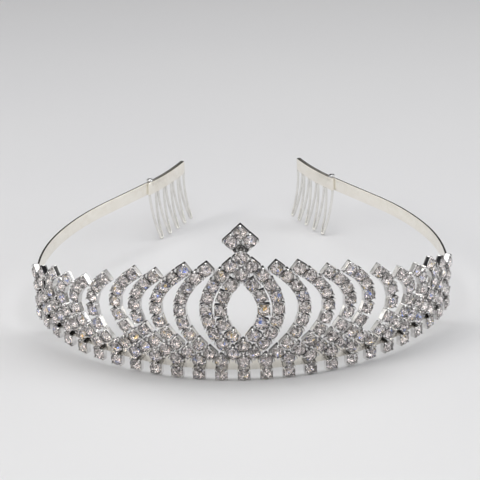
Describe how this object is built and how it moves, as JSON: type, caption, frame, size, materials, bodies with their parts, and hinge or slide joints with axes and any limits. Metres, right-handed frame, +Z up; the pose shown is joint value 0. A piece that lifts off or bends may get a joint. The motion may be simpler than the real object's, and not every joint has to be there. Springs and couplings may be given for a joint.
{
  "type": "bridal tiara",
  "caption": "Horseshoe metal headband with an upstanding front panel of clear round stones in claw cups, a diamond finial, and a side comb under each end.",
  "frame": {"origin": "middle of the footprint, on the surface that it stands on", "axes": "+Z up, -Y to the front, where the panel stands, +X to the right as seen from the front"},
  "size_m": [0.133, 0.1468, 0.0501],
  "materials": {
    "band_plate": "bright plating with a warm tint",
    "comb_wire": "bright drawn wire",
    "solder": "rounded bead, slightly dull",
    "cup_plate": "bright silver plating",
    "crystal": "clear cut glass, foiled at the back"
  },
  "bodies": {
    "root": {"headband": "band_plate", "left_comb_spine": "band_plate", "left_comb_teeth": "comb_wire", "left_comb_solder": "solder", "right_comb_spine": "band_plate", "right_comb_teeth": "comb_wire", "right_comb_solder": "solder", "finial_cups": "cup_plate", "oval_outer_cups": "cup_plate", "oval_inner_cups": "cup_plate", "drop_row_cups": "cup_plate", "foot_row_cups": "cup_plate", "filler_cups": "cup_plate", "left_arch_1_cups": "cup_plate", "left_arch_2_cups": "cup_plate", "left_arch_3_cups": "cup_plate", "left_arch_4_cups": "cup_plate", "left_arch_5_cups": "cup_plate", "left_arch_6_cups": "cup_plate", "left_arch_7_cups": "cup_plate", "left_arch_8_cups": "cup_plate", "left_arch_9_cups": "cup_plate", "left_arch_10_cups": "cup_plate", "right_arch_1_cups": "cup_plate", "right_arch_2_cups": "cup_plate", "right_arch_3_cups": "cup_plate", "right_arch_4_cups": "cup_plate", "right_arch_5_cups": "cup_plate", "right_arch_6_cups": "cup_plate", "right_arch_7_cups": "cup_plate", "right_arch_8_cups": "cup_plate", "right_arch_9_cups": "cup_plate", "right_arch_10_cups": "cup_plate", "finial_stones": "crystal", "oval_outer_stones": "crystal", "oval_inner_stones": "crystal", "drop_row_stones": "crystal", "foot_row_stones": "crystal", "filler_stones": "crystal", "left_arch_1_stones": "crystal", "left_arch_2_stones": "crystal", "left_arch_3_stones": "crystal", "left_arch_4_stones": "crystal", "left_arch_5_stones": "crystal", "left_arch_6_stones": "crystal", "left_arch_7_stones": "crystal", "left_arch_8_stones": "crystal", "left_arch_9_stones": "crystal", "left_arch_10_stones": "crystal", "right_arch_1_stones": "crystal", "right_arch_2_stones": "crystal", "right_arch_3_stones": "crystal", "right_arch_4_stones": "crystal", "right_arch_5_stones": "crystal", "right_arch_6_stones": "crystal", "right_arch_7_stones": "crystal", "right_arch_8_stones": "crystal", "right_arch_9_stones": "crystal", "right_arch_10_stones": "crystal"}
  },
  "joints": []
}
